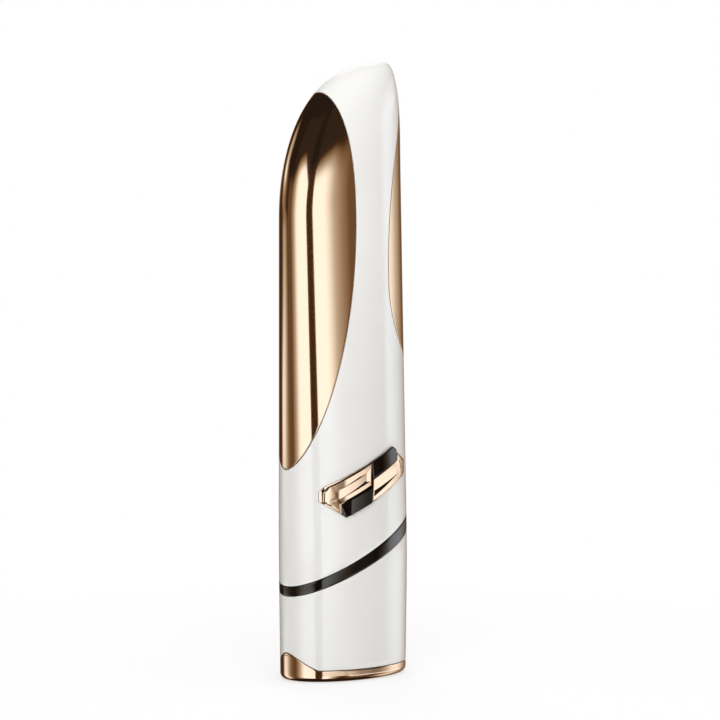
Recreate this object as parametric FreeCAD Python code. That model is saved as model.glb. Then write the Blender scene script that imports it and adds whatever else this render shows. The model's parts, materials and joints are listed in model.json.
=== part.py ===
import FreeCAD
import Part
import functools
import math
import os

# Eye care wand. Every piece is its own solid, in millimetres.
# The origin is the middle of the foot, +Z is up and the buttons are on the -Y side.

Vec = FreeCAD.Vector

# Outer form: upright ellipses up to a slanted shoulder, then a lopsided dome
height = 150.0
base_half_width = 17.45
base_half_depth = 11.28
widest_z = 30.0
widest_half_width = 17.84
widest_half_depth = 11.54
shoulder_half_width = 17.3
shoulder_half_depth = 9.57
shoulder_shift_y = 1.27
dome_left_height = 38.9
dome_right_height = 26.3
tip_x = 12.4
tip_y = 1.1
dome_left_power = 2.25
dome_right_power = 3.0
dome_depth_power = 2.8
foot_edge_radius = 1.4
wall_rings = 7
dome_rings = 9

# Casings
wall = 2.0
inner_clearance = 0.35

# Slanted joint ring between the casings
band_top_z = 31.7
band_top_slope = 0.472
band_bottom_z = 28.3
band_bottom_slope = 0.425
collar_wall = 1.0
collar_reach = 3.0
collar_clearance = 0.06

# Foot cap with its tongue on the narrow left side, and the seal above it
cap_floor = 1.8
cap_line_z = 2.84
tongue_start_x = -13.3
tongue_peak_z = 7.5
tongue_bow = 0.85
gasket_thickness = 0.25
gasket_setback = 0.3
skirt_wall = 1.2
skirt_reach = 1.5
skirt_clearance = 0.05

# Gold leaf plates let into the upper casing
leaf_thickness = 1.0
leaf_glue = 0.1
leaf_seam = 0.14
left_leaf_crest_x = -2.55
left_leaf_crest_z = 115.0
left_leaf_foot_z = 51.8
left_leaf_top_x = -6.6
left_leaf_top_z = 143.2
right_leaf_crest_x = 7.75
right_leaf_crest_z = 97.0
right_leaf_foot_z = 75.4
right_leaf_top_x = 12.4
right_leaf_top_z = 129.5

# Button badge, laid out across X and up from a slanted centre line
badge_z = 48.45
badge_slope = 0.461
badge_half_width = 13.2
badge_half_rise = 4.58
badge_side_rise = 1.65
badge_point_x = 7.2
badge_corner = 1.3
badge_proud = 0.25
badge_seat_depth = 1.2
badge_seam = 0.06
rim_width = 0.6
inlay_proud = 0.5
inlay_depth = 0.55
inlay_gap = 0.05
button_end_x = 8.5
button_gap_x = 0.3
button_low_rise = 0.85
button_proud = 0.9
button_clearance = 0.14
button_travel = 0.5
button_lip = 0.9
button_lip_thickness = 0.6
button_stop_gap = 0.06
channel_depth = 0.45
channel_edge = 0.85
channel_end_x = 9.2
pit_room = 0.4
pit_floor = 1.3
pit_clearance = 0.3
plunger_radius = 1.5
plunger_clearance = 0.4

# Charging inlet
socket_width = 8.94
socket_depth = 3.16
socket_skin = 0.3
socket_length = 7.35
socket_back = 1.0
socket_recess = 0.5
socket_clearance = 0.12
tongue_board_width = 6.7
tongue_board_thickness = 0.7
tongue_board_setback = 0.7

# Main board and what it carries
board_thickness = 1.0
board_half_width = 9.4
board_lift = 2.3
board_standoff = 0.8
board_boss_radius = 1.9
board_screw_x = 6.9
board_screw_edge = 4.0
board_screw_radius = 0.7
board_screw_bite = 1.3
board_screw_head_radius = 1.35
board_screw_head = 0.8
switch_side = 6.0
switch_body = 3.5
switch_stem_radius = 1.75
switch_stem_clearance = 0.05
switch_stem_out = 1.5
switch_stem_in = 1.3

# Chassis spine and its screws
spine_thickness = 1.6
shelf_gap = 0.6
shelf_thickness = 2.0
post_x = 10.4
post_radius = 2.2
post_height = 10.0
post_forward = 1.0
boss_x = 13.0
boss_y = 2.2
boss_radius = 2.0
boss_height = 8.0
ear_thickness = 2.0
screw_radius = 1.0
screw_clearance = 0.15
screw_bite = 6.0
screw_head_radius = 1.8
screw_head = 1.3
drive_radius = 0.9
drive_depth = 0.6

# Vibration motor under the dome
weight_top_gap = 21.0
weight_length = 3.5
weight_radius = 3.0
weight_air = 1.0
motor_x = 2.0
motor_length = 12.0
motor_radius = 3.0
motor_shaft_radius = 0.5
motor_shaft_clearance = 0.05
motor_shaft_in = 6.0
boot_wall = 0.8
boot_setback = 1.5
cradle_wall = 1.4
cradle_floor = 0.6
cradle_clearance = 0.05

# Battery under the motor
battery_gap = 3.5
battery_length = 36.0
battery_width = 20.0
battery_thickness = 6.0
battery_round = 1.5
battery_pad_thickness = 0.8
battery_clearance = 0.3
rail_wall = 1.2
rail_reach = 3.2
board_gap = 2.5

# Contacts between the leaf plates and the chassis
stud_radius = 1.0
stud_clearance = 0.05
stud_y = 1.0
stud_spread = 5.0
contact_strip = 0.3
contact_width = 2.4
contact_foot = 4.0
contact_pad = 1.0

# Places worked out from the sizes above
shoulder_left_z = height - dome_left_height
shoulder_right_z = height - dome_right_height
far = height
collar_inset = wall + collar_clearance
core_inset = collar_inset + collar_wall + inner_clearance
skirt_top_z = tongue_peak_z + skirt_reach
shelf_z = skirt_top_z + shelf_gap
shelf_top_z = shelf_z + shelf_thickness
board_front_y = socket_depth / 2
board_back_y = board_front_y + board_thickness
spine_y = board_back_y + board_standoff
post_y = spine_y - post_forward
spine_half_width = boss_x - boss_radius - inner_clearance
collar_top_z = band_top_z + band_top_slope * (boss_x + boss_radius) + collar_reach
ear_z = collar_top_z + inner_clearance + screw_head
boss_z = ear_z + ear_thickness
weight_top_z = height - weight_top_gap
motor_top_z = weight_top_z - weight_length - weight_air
motor_low_z = motor_top_z - motor_length
boot_radius = motor_radius + boot_wall
motor_y = spine_y - cradle_floor - boot_radius
battery_top_z = motor_low_z - battery_gap
battery_low_z = battery_top_z - battery_length
battery_back_y = spine_y - battery_pad_thickness
battery_front_y = battery_back_y - battery_thickness
rail_x = battery_width / 2 + battery_clearance
board_top_z = battery_low_z - board_gap
board_low_half_width = post_x - post_radius - inner_clearance
shelf_inner_x = board_low_half_width + inner_clearance
post_top_z = shelf_top_z + post_height
left_stud_z = (battery_low_z + battery_top_z) / 2 - stud_spread
right_stud_z = (battery_low_z + battery_top_z) / 2 + stud_spread
switch_front_y = board_front_y - switch_body
switch_stem_y = switch_front_y - switch_stem_out
button_x = -(badge_half_width - rim_width + button_gap_x) / 2
button_rise = (badge_half_rise - rim_width - button_low_rise) / 2
lip_inset = badge_seat_depth + button_stop_gap
pit_inset = lip_inset + button_lip_thickness + button_travel + pit_room


def quarter(angle, power):
    """Point of a rounded quarter between (1, 0) and (0, 1); a power of 2 gives a circle."""
    return math.cos(angle) ** (2 / power), math.sin(angle) ** (2 / power)


def ring(left, right, half_depth, y):
    """Elliptical wire between two points of the front view, with its seam at the back."""
    middle = Vec((left[0] + right[0]) / 2, y, (left[1] + right[1]) / 2)
    curve = Part.Ellipse(Vec(right[0], y, right[1]), middle + Vec(0, half_depth, 0), middle)
    return Part.Wire(Part.Edge(curve, math.pi / 2, 2.5 * math.pi))


def level_ring(half_width, half_depth, z):
    return ring((-half_width, z), (half_width, z), half_depth, 0)


def wall_ring(share, inset):
    """Ring between the widest level, share 0, and the slanted shoulder, share 1."""
    half_width = widest_half_width + (shoulder_half_width - widest_half_width) * share - inset
    half_depth = widest_half_depth + (shoulder_half_depth - widest_half_depth) * share - inset
    left_z = widest_z + (shoulder_left_z - widest_z) * share
    right_z = widest_z + (shoulder_right_z - widest_z) * share
    return ring((-half_width, left_z), (half_width, right_z), half_depth, shoulder_shift_y * share)


def dome_ring(angle, inset):
    """Ring of the dome, from the shoulder, angle 0, towards the tip, a right angle."""
    half_width = shoulder_half_width - inset
    left_in, left_up = quarter(angle, dome_left_power)
    right_in, right_up = quarter(angle, dome_right_power)
    depth_in = quarter(angle, dome_depth_power)[0]
    left = (tip_x - (tip_x + half_width) * left_in,
            shoulder_left_z + (dome_left_height - inset) * left_up)
    right = (tip_x + (half_width - tip_x) * right_in,
             shoulder_right_z + (dome_right_height - inset) * right_up)
    y = shoulder_shift_y + (tip_y - shoulder_shift_y) * (1 - depth_in)
    return ring(left, right, (shoulder_half_depth - inset) * depth_in, y)


@functools.lru_cache(maxsize=None)
def form(inset):
    """The whole body as one solid, its skin moved in by inset, or out where that is negative."""
    sections = [level_ring(base_half_width - inset, base_half_depth - inset, 0)]
    mid_half_width = (base_half_width + widest_half_width) / 2 - inset
    mid_half_depth = (base_half_depth + widest_half_depth) / 2 - inset
    sections.append(level_ring(mid_half_width, mid_half_depth, widest_z / 2))
    sections += [wall_ring(step / wall_rings, inset) for step in range(wall_rings + 1)]
    sections += [dome_ring(math.pi / 2 * step / dome_rings, inset) for step in range(1, dome_rings)]
    sections.append(Part.Vertex(Vec(tip_x, tip_y, height - inset)))
    return Part.makeLoft(sections, True, False)


@functools.lru_cache(maxsize=None)
def outer_form():
    """The outer skin with its foot edge rounded."""
    body = form(0)
    foot = [edge for edge in body.Edges if edge.BoundBox.ZMax < foot_edge_radius]
    return body.makeFillet(foot_edge_radius, foot)


def box(x0, x1, y0, y1, z0, z1):
    return Part.makeBox(x1 - x0, y1 - y0, z1 - z0, Vec(x0, y0, z0))


def post(radius, x, y, z0, z1):
    return Part.makeCylinder(radius, z1 - z0, Vec(x, y, z0))


def pin(radius, x, z, front, back):
    """Round bar along Y."""
    return Part.makeCylinder(radius, back - front, Vec(x, front, z), Vec(0, 1, 0))


def slab(z0, z1):
    return box(-far, far, -far, far, z0, z1)


def outline(points, grow=0):
    """Front view face through points, grown on every side."""
    corners = [Vec(x, 0, z) for x, z in points]
    face = Part.Face(Part.makePolygon(corners + corners[:1]))
    return face.makeOffset2D(grow, 2) if grow else face


def through(face, front=-far, back=far):
    """Prism of a front view face, from y = front to y = back."""
    return face.translated(Vec(0, front, 0)).extrude(Vec(0, back - front, 0))


def above(z, slope):
    """Everything above a slanted plane that crosses the middle at z."""
    rise = slope * far
    return through(outline([(-far, z - rise), (far, z + rise), (far, 3 * far), (-far, 3 * far)]))


def front_lines(points):
    """Straight front view edges from point to point."""
    return [Part.LineSegment(Vec(a[0], 0, a[1]), Vec(b[0], 0, b[1])).toShape()
            for a, b in zip(points, points[1:])]


def upright_arc(crest, end):
    """Front view arc that leaves crest straight up or down and reaches end."""
    run = end[0] - crest[0]
    rise = end[1] - crest[1]
    radius = (run ** 2 + rise ** 2) / (2 * run)
    half = math.asin(rise / abs(radius)) / 2
    middle = (crest[0] + radius * (1 - math.cos(half)), crest[1] + abs(radius) * math.sin(half))
    return Part.Arc(*[Vec(x, 0, z) for x, z in (crest, middle, end)]).toShape()


def run_on(crest, end, rise):
    """Point reached by going straight on from the end of an upright arc, rise higher."""
    run = end[0] - crest[0]
    radius = (run ** 2 + (end[1] - crest[1]) ** 2) / (2 * run)
    return end[0] + rise * (end[1] - crest[1]) / (radius - run), end[1] + rise


def leaf_prism(crest, foot, top, grow):
    """Prism of a leaf's front view: all that lies outside its bowed edge, grown by the seam."""
    side = math.copysign(far, foot[0])
    tail = run_on(crest, top, far)
    lines = front_lines([top, tail, (side, tail[1]), (side, foot[1]), foot])
    face = Part.Face(Part.Wire([upright_arc(crest, top)] + lines + [upright_arc(crest, foot)]))
    return through(face.makeOffset2D(grow, 2) if grow else face)


def left_leaf_prism(grow):
    return leaf_prism((left_leaf_crest_x, left_leaf_crest_z), (-widest_half_width, left_leaf_foot_z),
                      (left_leaf_top_x, left_leaf_top_z), grow)


def right_leaf_prism(grow):
    return leaf_prism((right_leaf_crest_x, right_leaf_crest_z), (widest_half_width, right_leaf_foot_z),
                      (right_leaf_top_x, right_leaf_top_z), grow)


def slanted(points):
    """Front view points from badge points: across, and up from the slanted centre line."""
    return [(x, badge_z + badge_slope * x + up) for x, up in points]


def turned(points):
    """The other half of the badge is the same shape turned by half a turn."""
    return [(-x, -up) for x, up in points]


def badge_block(grow=0):
    """Prism of the whole badge on the front of the body."""
    half = [(-badge_half_width + badge_corner, badge_half_rise),
            (-badge_half_width, badge_half_rise - badge_corner / 2),
            (-badge_half_width, badge_side_rise),
            (-badge_point_x, -badge_half_rise)]
    return through(outline(slanted(half + turned(half)), grow), -far, 0)


def button_points():
    """Left button: high at the left end of the badge, with its tip reaching down round the inlay."""
    end = badge_half_width - rim_width
    high = badge_half_rise - rim_width
    return [(-end + badge_corner, high), (-end, high - badge_corner / 2), (-end, badge_side_rise),
            (-button_end_x, badge_side_rise - end + button_end_x),
            (-button_end_x, -button_low_rise), (-button_gap_x, -button_low_rise), (-button_gap_x, high)]


def inlay_points():
    """Left inlay: low at the left, out to the badge's lower edge."""
    left = -button_end_x + button_clearance + rim_width / 2
    right = -button_gap_x + rim_width / 2
    top = -button_low_rise - rim_width / 2
    return [(left, top), (left, -badge_half_rise + badge_corner), (-badge_point_x, -badge_half_rise),
            (right, -badge_half_rise), (right, top)]


def lip_points():
    """Lip that keeps the left button behind the badge, on the inlay's side."""
    return [(-button_end_x + button_lip, -button_low_rise + button_lip),
            (-button_end_x + button_lip, -button_low_rise - button_lip),
            (-button_gap_x - button_lip, -button_low_rise - button_lip),
            (-button_gap_x - button_lip, -button_low_rise + button_lip)]


def channel_points():
    """Sunk panel on the face of the left button."""
    high = badge_half_rise - rim_width - channel_edge
    low = -button_low_rise + channel_edge
    return [(-channel_end_x, high), (-channel_end_x, low),
            (-button_gap_x - channel_edge, low), (-button_gap_x - channel_edge, high)]


def badge_prism(points, side, grow=0):
    """Prism of a badge outline on the front, for the left half, side 1, or turned over, side -1."""
    placed = points if side > 0 else turned(points)
    return through(outline(slanted(placed), grow), -far, 0)


def screw_pair(length, z, x, y):
    """Screws at both sides that point up, with their heads below z."""
    screws = []
    for place in (-x, x):
        shank = post(screw_radius, place, y, z, z + length)
        head = post(screw_head_radius, place, y, z - screw_head, z)
        drive = post(drive_radius, place, y, z - screw_head, z - screw_head + drive_depth)
        screws.append(shank.fuse(head).cut(drive))
    return Part.makeCompound(screws)


def cap_region(lift):
    """Everything below the top line of the foot cap, its tongue included, raised by lift."""
    foot_x = -widest_half_width
    middle_x = (tongue_start_x + foot_x) / 2
    middle_z = (cap_line_z + tongue_peak_z) / 2 - tongue_bow
    bow = [(tongue_start_x, cap_line_z), (middle_x, middle_z), (foot_x, tongue_peak_z)]
    arc = Part.Arc(*[Vec(x, 0, z) for x, z in bow]).toShape()
    lines = front_lines([bow[2], (-far, tongue_peak_z), (-far, -far), (far, -far), (far, cap_line_z), bow[0]])
    return through(Part.Face(Part.Wire([arc] + lines)).translated(Vec(0, 0, lift)))


def rounded_slot(width, depth, z0, z1):
    """Upright bar with a stadium section, long across X."""
    radius = depth / 2
    reach = width / 2 - radius
    bar = box(-reach, reach, -radius, radius, z0, z1)
    return bar.fuse([post(radius, -reach, 0, z0, z1), post(radius, reach, 0, z0, z1)]).removeSplitter()


def leaf_plate(prism):
    return outer_form().cut(form(leaf_thickness)).common(prism)


def leaf_pocket(prism):
    return prism.cut(form(leaf_thickness + leaf_glue))


def stud_hole(side, z):
    return stud_bar(side, z, stud_radius + stud_clearance)


def stud_bar(side, z, radius):
    """Bar along X from the chassis side out past the skin."""
    start = Vec(side * (rail_x + rail_wall + contact_strip + contact_pad), stud_y, z)
    return Part.makeCylinder(radius, far, start, Vec(side, 0, 0))


def upper_shell():
    skin = outer_form().cut(form(wall))
    pad = badge_block(rim_width).common(form(wall / 2)).cut(form(pit_inset + pit_floor))
    shell = skin.fuse(pad)
    for side in (-1, 1):
        boss = post(boss_radius, side * boss_x, boss_y, boss_z, boss_z + boss_height)
        web_x = sorted((side * boss_x, side * far))
        half = boss_radius / 2
        web = box(web_x[0], web_x[1], boss_y - half, boss_y + half, boss_z, boss_z + boss_height)
        shell = shell.fuse(boss.fuse(web).common(form(wall / 2)))
        shell = shell.cut(post(screw_radius, side * boss_x, boss_y, boss_z, boss_z + screw_bite))
    shell = shell.common(above(band_top_z, band_top_slope))
    shell = shell.cut(leaf_pocket(left_leaf_prism(leaf_seam)))
    shell = shell.cut(leaf_pocket(right_leaf_prism(leaf_seam)))
    shell = shell.cut(stud_hole(-1, left_stud_z)).cut(stud_hole(1, right_stud_z))
    shell = shell.cut(badge_block(badge_seam).cut(form(badge_seat_depth)))
    for side in (1, -1):
        pit = badge_prism(button_points(), side, button_clearance)
        pit = pit.fuse(badge_prism(lip_points(), side, pit_clearance))
        shell = shell.cut(pit.cut(form(pit_inset)))
        x, z = plunger_place(side)
        shell = shell.cut(pin(plunger_radius + plunger_clearance, x, z, -far, 0))
    return shell


def lower_shell():
    shell = outer_form().cut(form(wall))
    ends = slab(shelf_z, shelf_top_z).common(form(wall / 2))
    ends = ends.cut(box(-shelf_inner_x, shelf_inner_x, -far, far, 0, far))
    shell = shell.fuse(ends)
    shell = shell.cut(above(band_bottom_z, band_bottom_slope)).cut(cap_region(gasket_thickness))
    for side in (-1, 1):
        shell = shell.cut(post(screw_radius + screw_clearance, side * post_x, post_y, 0, far))
    return shell


def band_ring():
    under = above(band_top_z, band_top_slope)
    band = outer_form().cut(form(collar_inset + collar_wall))
    band = band.common(above(band_bottom_z, band_bottom_slope)).cut(under)
    collar = form(collar_inset).cut(form(collar_inset + collar_wall))
    collar = collar.common(above(band_bottom_z - collar_reach, band_bottom_slope))
    collar = collar.cut(above(band_top_z + collar_reach, band_top_slope))
    return band.fuse(collar).removeSplitter()


def base_cap():
    cup = outer_form().common(cap_region(0))
    cup = cup.cut(form(wall).common(slab(cap_floor, far)))
    skirt_inset = wall + skirt_clearance
    skirt = form(skirt_inset).cut(form(skirt_inset + skirt_wall)).common(slab(cap_floor / 2, skirt_top_z))
    cup = cup.fuse(skirt)
    grow = 2 * socket_clearance
    return cup.cut(rounded_slot(socket_width + grow, socket_depth + grow, -far, far))


def base_gasket():
    strip = form(gasket_setback).cut(form(wall))
    return strip.common(cap_region(gasket_thickness)).cut(cap_region(0))


def badge_bezel():
    plate = badge_block().common(form(-badge_proud)).cut(form(badge_seat_depth))
    for side in (1, -1):
        plate = plate.cut(badge_prism(button_points(), side, button_clearance))
        plate = plate.cut(badge_prism(inlay_points(), side, inlay_gap).cut(form(inlay_depth + inlay_gap)))
    return plate


def inlay(side):
    piece = badge_prism(inlay_points(), side).common(badge_block())
    return piece.common(form(-inlay_proud)).cut(form(inlay_depth))


def plunger_place(side):
    return slanted([(side * button_x, side * button_rise)])[0]


def button(side):
    cap = badge_prism(button_points(), side).common(form(-button_proud))
    cap = cap.cut(badge_prism(channel_points(), side).cut(form(channel_depth - button_proud)))
    cap = cap.fuse(badge_prism(lip_points(), side).common(form(lip_inset)))
    cap = cap.cut(form(lip_inset + button_lip_thickness))
    x, z = plunger_place(side)
    plunger = pin(plunger_radius, x, z, -far, switch_stem_y).common(form(lip_inset))
    return cap.fuse(plunger).removeSplitter()


def switch(side):
    x, z = plunger_place(side)
    half = switch_side / 2
    body = box(x - half, x + half, switch_front_y, board_front_y, z - half, z + half)
    well = switch_front_y + switch_stem_in + button_travel + switch_stem_clearance
    return body.cut(pin(switch_stem_radius + switch_stem_clearance, x, z, switch_front_y, well))


def switch_stem(side):
    x, z = plunger_place(side)
    return pin(switch_stem_radius, x, z, switch_stem_y, switch_front_y + switch_stem_in)


def board_screw_places():
    low_z = post_top_z + board_screw_edge
    high_z = board_top_z - board_screw_edge
    return [(x, z) for x in (-board_screw_x, board_screw_x) for z in (low_z, high_z)]


def main_board():
    low_z = board_lift
    plate = box(-board_half_width, board_half_width, board_front_y, board_back_y, post_top_z, board_top_z)
    tail = box(-board_low_half_width, board_low_half_width, board_front_y, board_back_y, low_z, post_top_z)
    plate = plate.fuse(tail).removeSplitter()
    for x, z in board_screw_places():
        plate = plate.cut(pin(board_screw_radius, x, z, board_front_y, board_back_y))
    return plate


def board_screws():
    screws = []
    for x, z in board_screw_places():
        head = pin(board_screw_head_radius, x, z, board_front_y - board_screw_head, board_front_y)
        shank = pin(board_screw_radius, x, z, board_front_y, spine_y + board_screw_bite)
        drive = pin(drive_radius / 2, x, z, board_front_y - board_screw_head,
                    board_front_y - board_screw_head / 2)
        screws.append(head.fuse(shank).cut(drive))
    return Part.makeCompound(screws)


def board_components():
    """Blocks on the front of the board: middle x, middle z, width, rise and thickness."""
    low_z = post_top_z + board_screw_edge
    blocks = [(0, low_z, 5.0, 5.0, 0.9),
              (0, low_z + 7.0, 4.0, 4.0, 2.0),
              (5.5, low_z + 7.5, 3.0, 2.0, 0.8),
              (-5.5, low_z + 7.5, 3.0, 2.0, 0.8),
              (0, post_top_z - 6.0, 3.0, 3.0, 0.8),
              (0, board_top_z - board_screw_edge, 7.0, 4.0, 3.0)]
    pieces_on_board = []
    for x, z, width, rise, thickness in blocks:
        corner = Vec(x - width / 2, board_front_y - thickness, z - rise / 2)
        pieces_on_board.append(Part.makeBox(width, thickness, rise, corner))
    return Part.makeCompound(pieces_on_board)


def usb_socket():
    mouth = socket_recess
    back = mouth + socket_length
    skin = rounded_slot(socket_width, socket_depth, mouth, back)
    shrink = 2 * socket_skin
    return skin.cut(rounded_slot(socket_width - shrink, socket_depth - shrink, mouth, back - socket_back))


def usb_tongue():
    half = tongue_board_width / 2
    thick = tongue_board_thickness / 2
    low = socket_recess + tongue_board_setback
    return box(-half, half, -thick, thick, low, socket_recess + socket_length - socket_back)


def chassis():
    spine_back = spine_y + spine_thickness
    rail_front = battery_back_y - rail_reach
    body = box(-spine_half_width, spine_half_width, spine_y, spine_back, shelf_top_z, motor_top_z)
    for side in (-1, 1):
        body = body.fuse(post(post_radius, side * post_x, post_y, shelf_top_z, post_top_z))
        ear_x = sorted((side * (board_half_width + inner_clearance), side * (boss_x + boss_radius)))
        ear = box(ear_x[0], ear_x[1], boss_y - boss_radius, spine_back, ear_z, boss_z)
        rail_at = sorted((side * rail_x, side * (rail_x + rail_wall)))
        rail = box(rail_at[0], rail_at[1], rail_front, spine_back, battery_low_z, battery_top_z)
        body = body.fuse([ear, rail])
    stop_x = rail_x + rail_wall
    for z in (battery_low_z - battery_clearance - rail_wall, battery_top_z + battery_clearance):
        body = body.fuse(box(-stop_x, stop_x, rail_front, spine_back, z, z + rail_wall))
    for x, z in board_screw_places():
        body = body.fuse(pin(board_boss_radius, x, z, board_back_y, spine_back))
    cradle_half = boot_radius + cradle_wall
    cradle = box(motor_x - cradle_half, motor_x + cradle_half, motor_y, spine_back, motor_low_z, motor_top_z)
    body = body.fuse(cradle).common(form(core_inset))
    body = body.cut(post(boot_radius + cradle_clearance, motor_x, motor_y, motor_low_z, motor_top_z))
    for side in (-1, 1):
        body = body.cut(post(screw_radius, side * post_x, post_y, shelf_top_z, shelf_top_z + screw_bite))
        body = body.cut(post(screw_radius + screw_clearance, side * boss_x, boss_y, 0, boss_z))
    for x, z in board_screw_places():
        body = body.cut(pin(board_screw_radius, x, z, board_back_y, spine_y + board_screw_bite))
    return body.removeSplitter()


def battery():
    half = battery_width / 2
    cell = box(-half, half, battery_front_y, battery_back_y, battery_low_z, battery_top_z)
    upright = [edge for edge in cell.Edges if edge.BoundBox.ZLength > battery_length / 2]
    return cell.makeFillet(battery_round, upright)


def battery_pad():
    half = battery_width / 2 - battery_round
    low_z = battery_low_z + battery_round
    return box(-half, half, battery_back_y, spine_y, low_z, battery_top_z - battery_round)


def vibration_motor():
    can = post(motor_radius, motor_x, motor_y, motor_low_z, motor_top_z)
    bore = motor_shaft_radius + motor_shaft_clearance
    return can.cut(post(bore, motor_x, motor_y, motor_top_z - motor_shaft_in - weight_air, motor_top_z))


def motor_boot():
    low = motor_low_z + boot_setback
    high = motor_top_z - boot_setback
    return post(boot_radius, motor_x, motor_y, low, high).cut(post(motor_radius, motor_x, motor_y, low, high))


def motor_shaft():
    return post(motor_shaft_radius, motor_x, motor_y, motor_top_z - motor_shaft_in, weight_top_z)


def eccentric_weight():
    low = weight_top_z - weight_length
    disc = post(weight_radius, motor_x, motor_y, low, weight_top_z)
    hub = post(2 * motor_shaft_radius, motor_x, motor_y, low, weight_top_z)
    half = disc.common(box(-far, far, -far, motor_y, low, weight_top_z))
    return half.fuse(hub).cut(post(motor_shaft_radius, motor_x, motor_y, low, weight_top_z)).removeSplitter()


def contact_stud(side, z):
    return stud_bar(side, z, stud_radius).common(form(leaf_thickness))


def contact_spring(side, z):
    """Strip with a bowed pad between the chassis rail and the stud."""
    near = rail_x + rail_wall
    out = near + contact_pad
    rise = [(near, -contact_foot), (near + contact_strip, -contact_foot),
            (near + contact_strip, -contact_pad - stud_radius), (out + contact_strip, -stud_radius),
            (out + contact_strip, stud_radius), (out, stud_radius), (out, -stud_radius),
            (near, -contact_pad - stud_radius)]
    face = outline([(side * x, z + up) for x, up in rise])
    return through(face, stud_y - contact_width / 2, stud_y + contact_width / 2)


def shell_screws():
    return screw_pair(ear_thickness + screw_bite, ear_z, boss_x, boss_y)


def foot_screws():
    return screw_pair(shelf_thickness + screw_bite, shelf_z, post_x, post_y)


def pieces():
    return {
        "upper_shell": upper_shell(),
        "lower_shell": lower_shell(),
        "band_ring": band_ring(),
        "base_cap": base_cap(),
        "base_gasket": base_gasket(),
        "left_leaf_plate": leaf_plate(left_leaf_prism(0)),
        "right_leaf_plate": leaf_plate(right_leaf_prism(0)),
        "badge_bezel": badge_bezel(),
        "left_inlay": inlay(1),
        "right_inlay": inlay(-1),
        "left_button": button(1),
        "right_button": button(-1),
        "left_switch": switch(1),
        "right_switch": switch(-1),
        "left_switch_stem": switch_stem(1),
        "right_switch_stem": switch_stem(-1),
        "main_board": main_board(),
        "board_components": board_components(),
        "board_screws": board_screws(),
        "usb_socket": usb_socket(),
        "usb_tongue": usb_tongue(),
        "chassis": chassis(),
        "battery": battery(),
        "battery_pad": battery_pad(),
        "vibration_motor": vibration_motor(),
        "motor_boot": motor_boot(),
        "motor_shaft": motor_shaft(),
        "eccentric_weight": eccentric_weight(),
        "left_contact_stud": contact_stud(-1, left_stud_z),
        "right_contact_stud": contact_stud(1, right_stud_z),
        "left_contact_spring": contact_spring(-1, left_stud_z),
        "right_contact_spring": contact_spring(1, right_stud_z),
        "shell_screws": shell_screws(),
        "foot_screws": foot_screws(),
    }


os.makedirs("parts", exist_ok=True)
for name, shape in pieces().items():
    shape.exportStep("parts/" + name + ".step")
    print(name, len(shape.Solids), "solids", round(shape.Volume, 1), "mm3, valid:", shape.isValid())
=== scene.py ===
# %% [markdown]
# # A handheld eye care wand
# The real wand is a white lacquered body with two mirror-gold plates let into its narrow sides, a black
# gloss ring round its waist, a gold foot and a small badge with two gold buttons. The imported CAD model
# comes in as a fixed frame. Everything inside keeps its CAD mesh, while the polished outside is built
# again here, because a mirror shows every flat triangle.

import json
import math

import bmesh
import bpy
import numpy as np
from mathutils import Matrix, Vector
from mathutils.geometry import delaunay_2d_cdt

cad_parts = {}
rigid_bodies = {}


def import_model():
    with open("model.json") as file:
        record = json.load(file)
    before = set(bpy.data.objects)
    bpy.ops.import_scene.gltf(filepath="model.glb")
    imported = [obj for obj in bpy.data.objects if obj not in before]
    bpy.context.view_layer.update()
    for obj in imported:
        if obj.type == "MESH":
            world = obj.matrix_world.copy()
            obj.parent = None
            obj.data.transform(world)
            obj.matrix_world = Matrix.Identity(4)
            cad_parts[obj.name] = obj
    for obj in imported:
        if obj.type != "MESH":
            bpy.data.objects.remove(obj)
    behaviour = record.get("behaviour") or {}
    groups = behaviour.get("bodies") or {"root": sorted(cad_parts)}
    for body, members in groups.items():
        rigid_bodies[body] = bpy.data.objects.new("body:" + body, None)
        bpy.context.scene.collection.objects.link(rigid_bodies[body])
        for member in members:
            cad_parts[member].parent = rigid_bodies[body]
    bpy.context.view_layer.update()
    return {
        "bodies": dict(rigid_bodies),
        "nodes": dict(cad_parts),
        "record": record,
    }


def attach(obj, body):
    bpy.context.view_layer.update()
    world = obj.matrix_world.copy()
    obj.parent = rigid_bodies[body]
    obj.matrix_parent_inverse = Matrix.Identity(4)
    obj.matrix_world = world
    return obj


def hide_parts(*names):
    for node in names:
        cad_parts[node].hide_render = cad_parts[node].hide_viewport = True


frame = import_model()
MM = 0.001
print(len(frame["nodes"]), "nodes on", len(frame["bodies"]), "bodies")

# %% [markdown]
# ## The form as a formula
# The body is a stack of ellipses: level 0 is the foot, 1 the widest place, 2 the slanted shoulder and 3
# the tip. It could be sculpted or subdivided by hand, but a formula gives the exact place of any point,
# so the white shell, the gold plates and the black ring can each be cut from one and the same skin and
# meet along thin seams.

# %% Sizes of the form, in millimetres
widest_z = 30.0
base_half = np.array([17.45, 11.28])
widest_half = np.array([17.84, 11.54])
shoulder_half = np.array([17.3, 9.57])
shoulder_shift_y = 1.27
shoulder_left_z = 111.1
shoulder_right_z = 123.7
tip = np.array([12.4, 1.1, 150.0])
dome_powers = {"left": 2.25, "right": 3.0, "depth": 2.8}
ease_reach = 8.0
wall_rise = (shoulder_left_z + shoulder_right_z) / 2 - widest_z
wall_slope = (shoulder_half - widest_half) / wall_rise
foot_slope = (widest_half - base_half) / widest_z
shift_slope = shoulder_shift_y / wall_rise


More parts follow.
